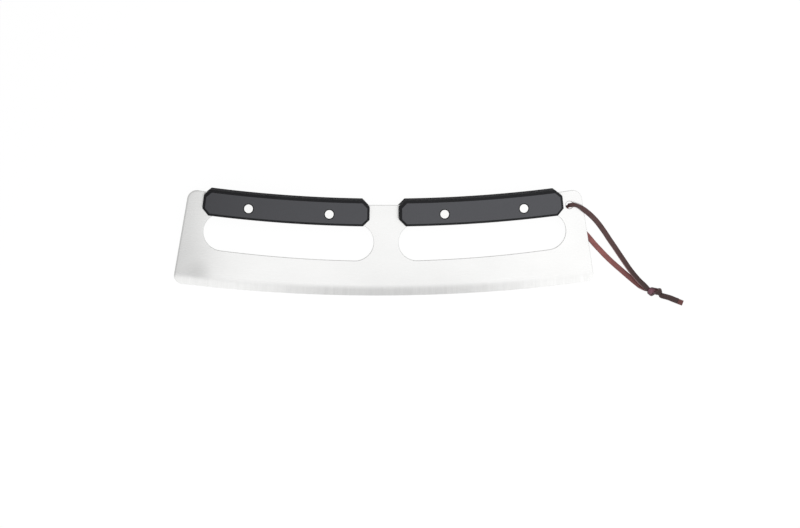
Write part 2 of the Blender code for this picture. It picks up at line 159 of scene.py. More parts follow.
TAIL_ROUTES = {
    "front": ((0.2338, -0.0463, 0.0044), (0.2365, -0.0470, 0.0041), (0.2406, -0.0481, 0.0036),
              (0.2440, -0.0495, 0.0034), (0.2474, -0.0508, 0.0034)),
    "back": ((0.2338, -0.0463, 0.0020), (0.2365, -0.0470, 0.0015), (0.2406, -0.0482, 0.0012),
             (0.2440, -0.0496, 0.0011), (0.2520, -0.0527, 0.0011)),
}
CURVE_STEPS = 20  # points between two points of a route
SMOOTHING = 0.25  # share that a point moves towards the middle of its neighbours
LINE_SMOOTHINGS = 8

# How the lace is turned along its line
UP = (0.0, 0.0, 1.0)
HOLE_NORMAL = (-0.75, 0.66, 0.0)  # grain side of the lace in the hole, up and to the left
HOLE_LACE_WIDTH = 0.0034  # the lace is pinched in the hole
HOLE_EASE = 0.022  # length over which it gets its full width
EDGEWAYS_LENGTH = 0.018  # it turns level over this length from the hole
LEANING_NORMAL = np.array((0.28, 0.20, 0.94))  # the front strand leans on the back one where they meet
LEANING_FROM, LEANING_TO = 0.180, 0.205
LACE_HARD_BEND = 20.0  # how much a bend over the lace's edge is kept off
TWIST_ROUNDS = 3000
STRAND_HOLD_STEP, KNOT_HOLD_STEP, TAIL_HOLD_STEP = 12, 2, 8  # rings between two places where it is held level
STRAND_FREE_RINGS = 4  # before the knot it isn't held

# The overhand knot: its loose course, along the lace (u), across it (v) and up (w), in thicknesses of the pair
KNOT_MIDDLE = Vector((0.2272, -0.0431, 0.0027))
KNOT_HALF_LENGTH = 0.0068
KNOT_HEADING = math.radians(-28)
KNOT_THICKNESS = 0.0027  # of the pair of laces, squeezed in the knot
KNOT_STRETCH = 1.5  # the squeezed laces are this much wider than thick
KNOT_ROLL = math.radians(250)
KNOT_LACE_WIDTH = 0.0038
KNOT_EASE = 0.0030  # length over which a lace narrows into the knot
KNOT_STEP = 0.0006
KNOT_ROUNDS = 700
KNOT_PUSHES = 3  # times that it is pushed off itself in a round
KNOT_EVEN_ROUNDS = 5  # its points are spaced evenly again after this many rounds
KNOT_NEAR = 1.6  # points nearer than this along it, in thicknesses, don't push each other off
KNOT_COURSE = (
    (-4.5, 0.0, 0.0), (-2.8, -0.2, 0.3), (-1.4, -0.55, 0.6), (0.0, -0.9, -0.5), (1.4, -0.9, 0.3),
    (2.25, 0.35, 0.65), (1.4, 1.75, 0.4), (0.0, 2.1, 0.0), (-1.4, 1.75, -0.4), (-2.25, 0.2, -0.65),
    (-1.4, -1.25, -0.2), (0.0, 0.0, 0.6), (1.4, 0.4, -0.6), (2.8, 0.2, -0.3), (4.5, 0.0, 0.0),
)

# Steel: tones of the flat, the ground face and the rivets, and how the noises that vary them are stretched
FLAT_TONES = ((0.665, 0.665, 0.66), (0.695, 0.695, 0.69))
GROUND_TONES = ((0.615, 0.615, 0.61), (0.70, 0.70, 0.695))
RIVET_TONES = ((0.66, 0.66, 0.655), (0.73, 0.73, 0.725))
FLAT_ROUGH = (0.26, 0.28)
GROUND_EXTRA_ROUGH = (0.04, 0.12)
RIVET_ROUGH = (0.16, 0.26)
BRUSHED_STRETCH = (40, 9000, 1)
CLOUDY_STRETCH = (16, 30, 1)
STREAKS_STRETCH = (2600, 60, 1)
WIDE_STREAKS_STRETCH = (330, 25, 1)
RIVET_STRETCH = (9000, 300, 300)
NOISE_LOW, NOISE_HIGH = 0.3, 0.7  # nearly all of a noise lies between these

# The blanked edges of the plate are duller than its brushed faces and partly a painted dark outline, and a
# painted highlight at its right end
EDGE_FACING, FLAT_FACING = 0.80, 0.97
DULL_AND_PAINTED_EDGE_TONE = (0.57, 0.57, 0.565)
EDGE_EXTRA_ROUGH = 0.20
PAINTED_HIGHLIGHT_EDGE_TONE = (0.70, 0.70, 0.695)
BRIGHT_END, BRIGHT_BLEND = 0.158, 0.006

# Painted dark reflections at the plate's left end: a darker rim, and a soft dark patch over its grinding
RIM_WIDTH, RIM_BLEND = 0.0015, 0.0005
PAINTED_RIM_TONE = (0.56, 0.56, 0.555)
RIM_END, RIM_END_BLEND = -0.156, 0.006
PATCH_PLACE = (-0.1555, 0.0205, HALF_PLATE)
PATCH_REACH = 0.015
PAINTED_PATCH_TONE = (0.585, 0.585, 0.58)

# Plastic: tones at the left and right, roughness and specular level.  The faces are polished by hands, and the
# sides and chamfers keep their dull grain.
GRIP_LOOKS = {
    "grip_face": (((0.0135, 0.0142, 0.0200), (0.0310, 0.0320, 0.0395)), (0.38, 0.50), 0.62),
    "grip_side": (((0.0200, 0.0202, 0.0220), (0.0230, 0.0232, 0.0250)), (0.80, 0.90), 0.05),
}
LIGHTER_UP_TO_X = 0.030  # the grips' faces get lighter from the left end up to this X
FACE_SLOPE = 0.95  # what faces forwards more than this is a scale's face, and the rest are its sides

# Leather
LACE_FACES = {"grain": 0, "flesh": 1, "cut": 2}
CUT_SIDE_ANGLE = 15  # half the angle of a cut side round the section
GRAIN_TONES = ((0.058, 0.026, 0.025), (0.092, 0.044, 0.042))
FLESH_TONES = ((0.190, 0.060, 0.057), (0.265, 0.088, 0.082))
CUT_TONES = ((0.340, 0.190, 0.200), (0.460, 0.280, 0.290))
CUT_DYED_TONE = 0.30
LEATHER_SPECULAR = 0.32
DARKER_FROM, DARKER_TO = 0.175, 0.225  # the lace is darker towards its knot
DARKER_TONE = 0.50
SHEEN_PLACE = (0.2232, -0.0426, 0.0080)  # a painted mauve sheen highlight on the knot's left band
SHEEN_REACH = 0.0050
PAINTED_SHEEN_TONE = (0.235, 0.098, 0.135)
BARE_FROM, BARE_TO = 0.190, 0.2235  # the cut sides are bare and light between these, and dyed dark elsewhere
BARE_BLEND = 0.006

# Camera
CAMERA_PLACE = Vector((-0.103858, 0.000146, 1.400198))
CAMERA_TURN = (-0.01321, -0.08271, -0.00270)
FOCAL_PIXELS = 1682.6
IMAGE_WIDTH = 800
SENSOR_WIDTH = 36.0

# Floor and light
FLOOR_RADIUS = 5.0
FLOOR_DROP = -0.0002
BACKDROP_HEIGHT = 1.1
FLOOR_GLOW = 0.91
GLOW_STRENGTH = 1.04
HORIZON_LIGHT = 0.14
ZENITH_LIGHT = 0.85
# Soft panels over the knife: radiance, left, right, front, back and height.  The steel is darker where it
# reflects what lies past their edges.
PANELS = {
    "panel_over": (0.55, -0.158, 0.80, -0.138, 0.22, 0.20),
    "panel_right": (0.08, 0.120, 0.80, -0.130, 0.22, 0.21),
    "panel_front_left": (1.35, -0.45, -0.09, -0.40, -0.188, 0.25),
    "panel_front_right": (1.20, 0.155, 0.60, -0.40, -0.175, 0.25),
}


# Node helpers

def new_material(name):
    material = bpy.data.materials.new(name)
    material.use_nodes = True
    nodes = material.node_tree.nodes
    return material, nodes, material.node_tree.links, nodes["Principled BSDF"]


def math_node(nodes, links, operation, first, second=None, clamp=False):
    node = nodes.new("ShaderNodeMath")
    node.operation = operation
    node.use_clamp = clamp
    for socket, value in zip(node.inputs, (first, second)):
        if value is None:
            continue
        if isinstance(value, (int, float)):
            socket.default_value = value
        else:
            links.new(value, socket)
    return node.outputs[0]


def ranged(nodes, links, value, low, high, to_low, to_high, smooth=False):
    node = nodes.new("ShaderNodeMapRange")
    node.interpolation_type = "SMOOTHSTEP" if smooth else "LINEAR"
    links.new(value, node.inputs["Value"])
    for key, number in (("From Min", low), ("From Max", high), ("To Min", to_low), ("To Max", to_high)):
        node.inputs[key].default_value = number
    return node.outputs["Result"]


def noise_ranged(nodes, links, value, to_low, to_high):
    return ranged(nodes, links, value, NOISE_LOW, NOISE_HIGH, to_low, to_high)


def noise(nodes, links, vector, scale, detail=3.0, roughness=0.55):
    node = nodes.new("ShaderNodeTexNoise")
    node.inputs["Scale"].default_value = scale
    node.inputs["Detail"].default_value = detail
    node.inputs["Roughness"].default_value = roughness
    links.new(vector, node.inputs["Vector"])
    return node.outputs["Fac"]


def stretched(nodes, links, vector, factors):
    node = nodes.new("ShaderNodeMapping")
    node.inputs["Scale"].default_value = factors
    links.new(vector, node.inputs["Vector"])
    return node.outputs["Vector"]


def mixed_colour(nodes, links, factor, first, second):
    node = nodes.new("ShaderNodeMix")
    node.data_type = "RGBA"
    links.new(factor, node.inputs["Factor"])
    for socket, value in ((node.inputs[6], first), (node.inputs[7], second)):  # its two colours
        if isinstance(value, tuple):
            socket.default_value = (*value, 1.0)
        else:
            links.new(value, socket)
    return node.outputs[2]


def blend(nodes, links, first, second, share):
    """This share of the first value, and the rest of the second."""
    return math_node(nodes, links, "ADD", math_node(nodes, links, "MULTIPLY", first, share),
                     math_node(nodes, links, "MULTIPLY", second, 1 - share))


def bumped(nodes, links, shader, height, strength, depth):
    node = nodes.new("ShaderNodeBump")
    node.inputs["Strength"].default_value = strength
    node.inputs["Distance"].default_value = depth
    links.new(height, node.inputs["Height"])
    links.new(node.outputs["Normal"], shader.inputs["Normal"])


def object_coordinates(nodes):
    return nodes.new("ShaderNodeTexCoord").outputs["Object"]


def separated(nodes, links, vector):
    node = nodes.new("ShaderNodeSeparateXYZ")
    links.new(vector, node.inputs["Vector"])
    return node


def vector_node(nodes, links, operation, first, second):
    node = nodes.new("ShaderNodeVectorMath")
    node.operation = operation
    links.new(first, node.inputs[0])
    node.inputs[1].default_value = second
    return node


def distance(nodes, links, vector, place):
    return vector_node(nodes, links, "DISTANCE", vector, place).outputs["Value"]


# Materials

def painted_rim_line(nodes, links, place, x):
    """Mask of the painted dark reflection rim: 1 along the plate's left end and round its top corner, 0
    elsewhere.
    """
    corner = top_corner_centre()
    from_corner = vector_node(nodes, links, "SUBTRACT", place, (-corner.x, corner.y, 0.0)).outputs["Vector"]
    squares = []
    for way in ((-math.cos(END_LEAN), math.sin(END_LEAN), 0.0), (math.sin(END_LEAN), math.cos(END_LEAN), 0.0)):
        reach = vector_node(nodes, links, "DOT_PRODUCT", from_corner, way).outputs["Value"]
        outside = math_node(nodes, links, "MAXIMUM", reach, 0.0)
        squares.append(math_node(nodes, links, "MULTIPLY", outside, outside))
    reach = math_node(nodes, links, "SQRT", math_node(nodes, links, "ADD", *squares))
    start = TOP_CORNER_RADIUS - RIM_WIDTH
    return math_node(nodes, links, "MULTIPLY", ranged(nodes, links, reach, start, start + RIM_BLEND, 0.0, 1.0),
                     ranged(nodes, links, x, RIM_END, RIM_END + RIM_END_BLEND, 1.0, 0.0))


def polar_coordinates(nodes, links, parts):
    """Along the cutting edge and out to it, and the distance from the edge's centre alone."""
    below = math_node(nodes, links, "SUBTRACT", EDGE_RADIUS, parts.outputs["Y"])
    squares = math_node(nodes, links, "ADD", math_node(nodes, links, "MULTIPLY", below, below),
                        math_node(nodes, links, "MULTIPLY", parts.outputs["X"], parts.outputs["X"]))
    radius = math_node(nodes, links, "SQRT", squares)
    along = math_node(nodes, links, "MULTIPLY",
                      math_node(nodes, links, "ARCTAN2", parts.outputs["X"], below), EDGE_RADIUS)
    polar = nodes.new("ShaderNodeCombineXYZ")
    links.new(along, polar.inputs["X"])
    links.new(radius, polar.inputs["Y"])
    return polar.outputs["Vector"], radius


def blade_steel():
    """Satin plate with fine lines along it, and a ground face with streaks that run to the cutting edge."""
    material, nodes, links, shader = new_material("blade_steel")
    place = object_coordinates(nodes)
    parts = separated(nodes, links, place)
    polar, radius = polar_coordinates(nodes, links, parts)
    ground = ranged(nodes, links, radius, GRIND_LINE, GRIND_LINE + GRIND_BLEND, 0.0, 1.0, smooth=True)

    brushed = noise(nodes, links, stretched(nodes, links, place, BRUSHED_STRETCH), 1.0, 4.0, 0.6)
    streaks = noise(nodes, links, stretched(nodes, links, polar, STREAKS_STRETCH), 1.0, 4.0, 0.65)
    cloudy = noise(nodes, links, stretched(nodes, links, place, CLOUDY_STRETCH), 1.0, 2.0, 0.5)
    wide = noise(nodes, links, stretched(nodes, links, polar, WIDE_STREAKS_STRETCH), 1.0, 3.0, 0.6)

    flat_tone = mixed_colour(nodes, links, noise_ranged(nodes, links, cloudy, 0.0, 1.0), *FLAT_TONES)
    # painted soft dark reflection patch over the grinding at the plate's left end
    painted_patch = ranged(nodes, links, distance(nodes, links, place, PATCH_PLACE), 0.0, PATCH_REACH, 1.0, 0.0,
                   smooth=True)
    flat_tone = mixed_colour(nodes, links, painted_patch, flat_tone, PAINTED_PATCH_TONE)
    streak_mix = blend(nodes, links, streaks, wide, 0.5)
    ground_tone = mixed_colour(nodes, links, ranged(nodes, links, streak_mix, 0.35, 0.65, 0.0, 1.0),
                               *GROUND_TONES)
    faces = mixed_colour(nodes, links, ground, flat_tone, ground_tone)
    # painted dark reflection line along the plate's left end and round its top corner
    faces = mixed_colour(nodes, links, painted_rim_line(nodes, links, place, parts.outputs["X"]), faces, PAINTED_RIM_TONE)

    # edges: dull blanked steel, darkened further as a painted dark outline
    facing = separated(nodes, links, nodes.new("ShaderNodeTexCoord").outputs["Normal"])
    edge = ranged(nodes, links, math_node(nodes, links, "ABSOLUTE", facing.outputs["Z"]),
                  EDGE_FACING, FLAT_FACING, 1.0, 0.0)
    # painted highlight on the edges at the plate's right end
    painted_highlight = ranged(nodes, links, parts.outputs["X"], BRIGHT_END - BRIGHT_BLEND, BRIGHT_END, 0.0, 1.0)
    dull_and_painted_edge_tone = mixed_colour(nodes, links, painted_highlight, DULL_AND_PAINTED_EDGE_TONE, PAINTED_HIGHLIGHT_EDGE_TONE)
    links.new(mixed_colour(nodes, links, edge, faces, dull_and_painted_edge_tone), shader.inputs["Base Color"])

    shader.inputs["Metallic"].default_value = 1.0
    flat_rough = math_node(nodes, links, "ADD", noise_ranged(nodes, links, brushed, *FLAT_ROUGH),
                           math_node(nodes, links, "MULTIPLY", edge, EDGE_EXTRA_ROUGH))
    extra_rough = math_node(nodes, links, "MULTIPLY", ground,
                            noise_ranged(nodes, links, streaks, *GROUND_EXTRA_ROUGH))
    links.new(math_node(nodes, links, "ADD", flat_rough, extra_rough), shader.inputs["Roughness"])
    relief = nodes.new("ShaderNodeMix")
    relief.data_type = "FLOAT"
    links.new(ground, relief.inputs["Factor"])
    links.new(brushed, relief.inputs[2])
    links.new(streaks, relief.inputs[3])
    bumped(nodes, links, shader, relief.outputs[0], strength=0.05, depth=0.00002)
    return material


def rivet_steel():
    material, nodes, links, shader = new_material("rivet_steel")
    place = object_coordinates(nodes)
    lines = noise(nodes, links, stretched(nodes, links, place, RIVET_STRETCH), 1.0, 4.0, 0.6)
    links.new(mixed_colour(nodes, links, lines, *RIVET_TONES), shader.inputs["Base Color"])
    shader.inputs["Metallic"].default_value = 1.0
    links.new(noise_ranged(nodes, links, lines, *RIVET_ROUGH), shader.inputs["Roughness"])
    bumped(nodes, links, shader, lines, strength=0.2, depth=0.00001)
    return material


def grip_plastic(name, tones, rough, specular):
    """Black moulded plastic with a fine spark-eroded grain.  Its tones run from left to right."""
    material, nodes, links, shader = new_material(name)
    place = object_coordinates(nodes)
    grain = noise(nodes, links, place, 5200.0, 3.0, 0.6)
    broad = noise(nodes, links, place, 60.0, 3.0, 0.55)
    parts = separated(nodes, links, place)
    # the tone gets lighter from the left end towards the right
    left_to_right = ranged(nodes, links, parts.outputs["X"], -HALF_WIDTH, LIGHTER_UP_TO_X, -0.15, 0.85)
    tone = math_node(nodes, links, "ADD", left_to_right, noise_ranged(nodes, links, broad, 0.0, 0.3), clamp=True)
    links.new(mixed_colour(nodes, links, tone, *tones), shader.inputs["Base Color"])
    uneven = noise_ranged(nodes, links, broad, -0.03, 0.03)
    links.new(math_node(nodes, links, "ADD", noise_ranged(nodes, links, grain, *rough), uneven),
              shader.inputs["Roughness"])
    shader.inputs["Specular IOR Level"].default_value = specular
    bumped(nodes, links, shader, grain, strength=0.35, depth=0.00004)
    return material


def lace_leather(name, dark, light, dyed_tone=1.0):
    """Thin leather: cloudy dye, fine pores and small creases."""
    material, nodes, links, shader = new_material(name)
    place = object_coordinates(nodes)
    cloudy = noise(nodes, links, place, 260.0, 4.0, 0.6)
    pores = noise(nodes, links, place, 2600.0, 3.0, 0.6)
    tone = blend(nodes, links, cloudy, pores, 0.7)
    dyed = mixed_colour(nodes, links, ranged(nodes, links, tone, 0.36, 0.64, 0.0, 1.0), dark, light)
    x = separated(nodes, links, place).outputs["X"]
    towards_knot = ranged(nodes, links, x, DARKER_FROM, DARKER_TO, 0.0, 1.0, smooth=True)
    # darker tone of the lace towards its knot
    held = tuple(DARKER_TONE * (a + b) / 2 for a, b in zip(dark, light))
    # painted mauve sheen highlight on the knot's left band
    away = distance(nodes, links, place, SHEEN_PLACE)
    painted_sheen = math_node(nodes, links, "MULTIPLY",
                       ranged(nodes, links, away, 0.0, SHEEN_REACH, 1.0, 0.0, smooth=True),
                       ranged(nodes, links, tone, 0.30, 0.60, 0.4, 1.0))
    graded_tone = mixed_colour(nodes, links, towards_knot, dyed, held)
    if dyed_tone < 1.0:
        bare = math_node(nodes, links, "MULTIPLY",
                         ranged(nodes, links, x, BARE_FROM - BARE_BLEND, BARE_FROM, 0.0, 1.0),
                         ranged(nodes, links, x, BARE_TO - BARE_BLEND / 3, BARE_TO, 1.0, 0.0))
        graded_tone = mixed_colour(nodes, links, bare, tuple(dyed_tone * value for value in held), graded_tone)
    links.new(mixed_colour(nodes, links, painted_sheen, graded_tone, PAINTED_SHEEN_TONE), shader.inputs["Base Color"])
    links.new(noise_ranged(nodes, links, pores, 0.45, 0.62), shader.inputs["Roughness"])
    bumped(nodes, links, shader, blend(nodes, links, cloudy, pores, 0.6), strength=0.5, depth=0.0002)
    shader.inputs["Specular IOR Level"].default_value = LEATHER_SPECULAR
    return material


def added(name, shape, materials):
    """The object of this shape, in the scene."""
    mesh = bpy.data.meshes.new(name)
    shape.to_mesh(mesh)
    shape.free()
    for material in materials:
        mesh.materials.append(material)
    thing = bpy.data.objects.new(name, mesh)
    bpy.context.scene.collection.objects.link(thing)
    return thing


# Lace

def evenly(points, step):
    """The same line with its points this far apart."""
    reach = np.concatenate(([0.0], np.cumsum(np.linalg.norm(np.diff(points, axis=0), axis=1))))
    goal = np.linspace(0, reach[-1], max(2, round(reach[-1] / step)) + 1)
    return np.stack([np.interp(goal, reach, points[:, k]) for k in range(3)], axis=1)


def smooth_curve(route, step):
    """Points on one smooth curve through the route."""
    route = np.array(route, float)
    knots = np.vstack((2 * route[0] - route[1], route, 2 * route[-1] - route[-2]))
    fine = []
    for a, b, c, d in zip(knots, knots[1:], knots[2:], knots[3:]):
        for t in np.linspace(0, 1, CURVE_STEPS, endpoint=False):
            fine.append(0.5 * (2 * b + (c - a) * t + (2 * a - 5 * b + 4 * c - d) * t ** 2
                               + (3 * b - a - 3 * c + d) * t ** 3))
    fine.append(route[-1])
    return evenly(np.array(fine), step)


def smoothed(line):
    line[1:-1] += SMOOTHING * (line[:-2] + line[2:] - 2 * line[1:-1])


def tight_knot():
    """Pulls the loose knot tight: it shortens until it lies against itself."""
    rope = smooth_curve(np.array(KNOT_COURSE) * KNOT_THICKNESS, KNOT_STEP)
    skip = round(KNOT_NEAR * KNOT_THICKNESS / KNOT_STEP)
    for turn in range(KNOT_ROUNDS):
        smoothed(rope)
        index = np.arange(len(rope))
        apart = np.abs(index[:, None] - index[None]) > skip
        for again in range(KNOT_PUSHES):
            gap = rope[:, None] - rope[None]
            far = np.linalg.norm(gap, axis=2)
            close = apart & (far < KNOT_THICKNESS)
            share = np.where(close, (KNOT_THICKNESS - far) / np.maximum(far, 1e-9) * 0.5, 0.0)
            push = (gap * share[..., None]).sum(1) / np.maximum(close.sum(1), 1)[:, None]
            push[0] = push[-1] = 0
            rope += push
        if turn % KNOT_EVEN_ROUNDS == 0:
            rope = evenly(rope, KNOT_STEP)
    return rope


def placed_knot():
    """The tight knot on the table, between the strands and the tails."""
    rope = tight_knot()
    cosine, sine = math.cos(KNOT_ROLL), math.sin(KNOT_ROLL)
    along = Vector((math.cos(KNOT_HEADING), math.sin(KNOT_HEADING)))
    u = rope[:, 0] * KNOT_STRETCH
    v = rope[:, 1] * cosine - rope[:, 2] * sine
    v -= (v.min() + v.max()) / 2
    w = rope[:, 1] * sine + rope[:, 2] * cosine
    placed = np.stack((KNOT_MIDDLE.x + u * along.x - v * along.y, KNOT_MIDDLE.y + u * along.y + v * along.x,
                       KNOT_MIDDLE.z + w), axis=1)
    inside = np.flatnonzero(np.abs(u) < KNOT_HALF_LENGTH)
    return evenly(placed[inside[0]:inside[-1] + 1], KNOT_STEP)


def unit(vectors):
    return vectors / np.maximum(np.linalg.norm(vectors, axis=-1, keepdims=True), 1e-12)


def tangents(points):
    return unit(np.gradient(points, axis=0))


def lace_normals(points, anchors):
    """Normals of a flat lace on this line.  Some are given, and between them it twists evenly and bends the
    easy way."""
    along = tangents(points)
    step = np.linalg.norm(points[1] - points[0])
    carried = [unit(np.cross(along[0], (0.3, 0.5, 0.8)))]
    for ahead in along[1:]:
        carried.append(unit(carried[-1] - np.dot(carried[-1], ahead) * ahead))
    carried = np.array(carried)
    across = np.cross(along, carried)
    fixed = []
    for index, normal in sorted(anchors.items()):
        angle = math.atan2(np.dot(normal, across[index]), np.dot(normal, carried[index]))
        if fixed:
            angle += 2 * math.pi * round((fixed[-1][1] - angle) / (2 * math.pi))
        fixed.append((index, angle))
    held = np.array([index for index, angle in fixed])
    given = np.array([angle for index, angle in fixed])
    angles = np.interp(np.arange(len(points)), held, given)
    bend = np.gradient(along, axis=0) / step
    easy = (bend * carried).sum(1)
    hard = (bend * across).sum(1)
    stiff = np.full(len(points), LACE_HARD_BEND * step ** 2)
    for again in range(TWIST_ROUNDS):
        side = hard * np.cos(angles) - easy * np.sin(angles)
        slope = side * (-hard * np.sin(angles) - easy * np.cos(angles))
        move = 0.5 * (angles[:-2] + angles[2:]) - angles[1:-1] - stiff[1:-1] * slope[1:-1]
        angles[1:-1] += move / (1 + stiff[1:-1] * (hard ** 2 + easy ** 2)[1:-1])
        angles[held] = given
    return carried * np.cos(angles)[:, None] + across * np.sin(angles)[:, None]


def lace_line(half, knot, knot_normals):
    """One half's centreline, and the stretch of it that is in the knot."""
    inner = knot + LACE_HALVES[half] * knot_normals * KNOT_THICKNESS / 4
    strand = smooth_curve([HOLE_MIDDLE, *STRAND_ROUTES[half][1:], inner[0]], LACE_RING_STEP)
    tail = smooth_curve([inner[-1], *TAIL_ROUTES[half]], LACE_RING_STEP)
    line = evenly(np.vstack((strand[:-1], inner, tail[1:])), LACE_RING_STEP)
    for again in range(LINE_SMOOTHINGS):
        smoothed(line)
    line = evenly(line, LACE_RING_STEP)
    start = int(np.argmin(np.linalg.norm(line - inner[0], axis=1)))
    end = int(np.argmin(np.linalg.norm(line - inner[-1], axis=1)))
    return line, start, end


def lace_anchors(half, line, start, end, knot_normals):
    """Grain side out at the hole, then level; in the knot as the pair lies; level again."""
    side = LACE_HALVES[half]
    anchors = {0: HOLE_NORMAL}
    level = np.array((0.0, 0.0, side))
    for index in range(round(EDGEWAYS_LENGTH / LACE_RING_STEP), start - STRAND_FREE_RINGS, STRAND_HOLD_STEP):
        anchors[index] = level
        if half == "front":
            share = min(max((line[index][0] - LEANING_FROM) / (LEANING_TO - LEANING_FROM), 0.0), 1.0)
            anchors[index] = unit(level * (1 - share) + LEANING_NORMAL * share)
    for index in range(start, end + 1, KNOT_HOLD_STEP):
        nearest = round((index - start) / max(end - start, 1) * (len(knot_normals) - 1))
        anchors[index] = side * knot_normals[nearest]
    for index in range(end + TAIL_HOLD_STEP, len(line), TAIL_HOLD_STEP):
        anchors[index] = level
    return anchors


def lace_sizes(line, start, end):
    """Width and thickness at each ring: pinched in the hole, and narrower and squeezed in the knot."""
    ease = KNOT_EASE / LACE_RING_STEP
    sizes = []
    for index in range(len(line)):
        inside = (min(max((index - start) / ease + 0.5, 0.0), 1.0)
                  * min(max((end - index) / ease + 0.5, 0.0), 1.0))
        inside = inside * inside * (3 - 2 * inside)
        pinched = 1 - min(index * LACE_RING_STEP / HOLE_EASE, 1.0)
        width = (LACE_WIDTH + (KNOT_LACE_WIDTH - LACE_WIDTH) * inside
                 + (HOLE_LACE_WIDTH - LACE_WIDTH) * pinched ** 2 * (3 - 2 * pinched))
        sizes.append((width, LACE_THICKNESS + (KNOT_THICKNESS / 2 - LACE_THICKNESS) * inside))
    return sizes


def lace_section(width, thickness):
    points = []
    power = 2 / LACE_SQUARENESS
    for i in range(LACE_SIDES):
        angle = 2 * math.pi * (i + 0.5) / LACE_SIDES
        cosine, sine = math.cos(angle), math.sin(angle)
        points.append((math.copysign(abs(cosine) ** power, cosine) * width / 2,
                       math.copysign(abs(sine) ** power, sine) * thickness / 2))
    return points


def lace_face_of(i):
    angle = 360 * (i + 1) / LACE_SIDES
    if CUT_SIDE_ANGLE < angle < 180 - CUT_SIDE_ANGLE:
        return "grain"
    if 180 + CUT_SIDE_ANGLE < angle < 360 - CUT_SIDE_ANGLE:
        return "flesh"
    return "cut"


def lace_mesh(name, line, normals, sizes, materials):
    """A closed flat lace.  Its faces are grain, flesh or cut side by where they lie round the section."""
    across = np.cross(tangents(line), normals)
    shape = bmesh.new()
    rings = []
    for place, normal, side, (width, thickness) in zip(line, normals, across, sizes):
        rings.append([shape.verts.new(place + x * side + y * normal)
                      for x, y in lace_section(width, thickness)])
    for lower, upper in zip(rings, rings[1:]):
        for i in range(LACE_SIDES):
            j = (i + 1) % LACE_SIDES
            face = shape.faces.new((lower[i], lower[j], upper[j], upper[i]))
            face.smooth = True
            face.material_index = LACE_FACES[lace_face_of(i)]
    for ring in (rings[0][::-1], rings[-1]):
        face = shape.faces.new(ring)
        face.material_index = LACE_FACES["cut"]
    bmesh.ops.recalc_face_normals(shape, faces=shape.faces)
    return added(name, shape, materials)


def make_laces():
    knot = placed_knot()
    knot_normals = lace_normals(knot, {0: UP, len(knot) - 1: UP})
    materials = [lace_leather("lace_grain", *GRAIN_TONES), lace_leather("lace_flesh", *FLESH_TONES),
                 lace_leather("lace_cut", *CUT_TONES, dyed_tone=CUT_DYED_TONE)]
    for half, nodes in LACE_NODES.items():
        line, start, end = lace_line(half, knot, knot_normals)
        normals = lace_normals(line, lace_anchors(half, line, start, end, knot_normals))
        lace = lace_mesh(f"lace_{half}", line, normals, lace_sizes(line, start, end), materials)
        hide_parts(*nodes)
        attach(lace, "lanyard")


# Shapes of the blade and grips

def loft(name, rings, material):
    """A closed body through rings of as many points each, with a flat face on its first and last ring."""
    shape = bmesh.new()
    loops = [[shape.verts.new(point) for point in ring] for ring in rings]
    count = len(loops[0])
    for lower, upper in zip(loops, loops[1:]):
        for i in range(count):
            j = (i + 1) % count
            shape.faces.new((lower[i], lower[j], upper[j], upper[i]))
    shape.faces.new(loops[0])
    shape.faces.new(loops[-1])
    bmesh.ops.recalc_face_normals(shape, faces=shape.faces)
    thing = added(name, shape, [material])
    thing.matrix_world = KNIFE_MATRIX
    return thing


def cut_all(thing, cutters):
    for cutter in cutters:
        boolean = thing.modifiers.new(cutter.name, "BOOLEAN")
        boolean.operation = "DIFFERENCE"
        boolean.solver = "EXACT"
        boolean.object = cutter
    settle_mesh(thing)
    for cutter in cutters:
        bpy.data.objects.remove(cutter)


def settle_mesh(thing):
    """Applies the modifiers, by taking the mesh that they make."""
    bpy.context.view_layer.update()
    graph = bpy.context.evaluated_depsgraph_get()
    mesh = bpy.data.meshes.new_from_object(thing.evaluated_get(graph), depsgraph=graph)
    thing.modifiers.clear()
    thing.data = mesh


def shade(thing, degrees):
    thing.data.shade_smooth()
    thing.data.set_sharp_from_angle(angle=math.radians(degrees))
    weighted = thing.modifiers.new("weighted", "WEIGHTED_NORMAL")
    weighted.keep_sharp = True


def arc(centre, radius, start, end, segments):
    points = []
    for i in range(segments + 1):
        angle = start + (end - start) * i / segments
        points.append(centre + radius * Vector((math.cos(angle), math.sin(angle))))
    return points


def direction(start, end):
    step = end - start
    return math.atan2(step.y, step.x)


def at_depth(points, w):
    return [Vector((point.x, point.y, w)) for point in points]


def lower_corner_centre():
    x = HALF_WIDTH - LOWER_CORNER_RADIUS
    return Vector((x, EDGE_RADIUS - math.sqrt((EDGE_RADIUS - LOWER_CORNER_RADIUS) ** 2 - x ** 2)))


def top_corner_centre():
    outward = Vector((math.cos(END_LEAN), math.sin(END_LEAN)))
    along = Vector((-outward.y, outward.x))
    reach = outward.dot(lower_corner_centre()) + LOWER_CORNER_RADIUS - TOP_CORNER_RADIUS
    across = reach - outward.dot(TOP_CENTRE)
    rise = along.dot(TOP_CENTRE) - math.sqrt((TOP_RADIUS + TOP_CORNER_RADIUS) ** 2 - across ** 2)
    return reach * outward + rise * along


def plate_outline(inset):
    lower = lower_corner_centre()
    upper = top_corner_centre()
    down = -math.pi / 2
    edge_end = direction(EDGE_CENTRE, lower)
    top_end = direction(TOP_CENTRE, upper)
    half = arc(EDGE_CENTRE, EDGE_RADIUS - inset, down, edge_end, EDGE_SEGMENTS)
    half += arc(lower, LOWER_CORNER_RADIUS - inset, edge_end, END_LEAN, CORNER_SEGMENTS)[1:]
    half += arc(upper, TOP_CORNER_RADIUS - inset, END_LEAN, direction(upper, TOP_CENTRE), CORNER_SEGMENTS)
    half += arc(TOP_CENTRE, TOP_RADIUS + inset, top_end, down, EDGE_SEGMENTS)[1:]
    return half + [Vector((-point.x, point.y)) for point in half[-2:0:-1]]


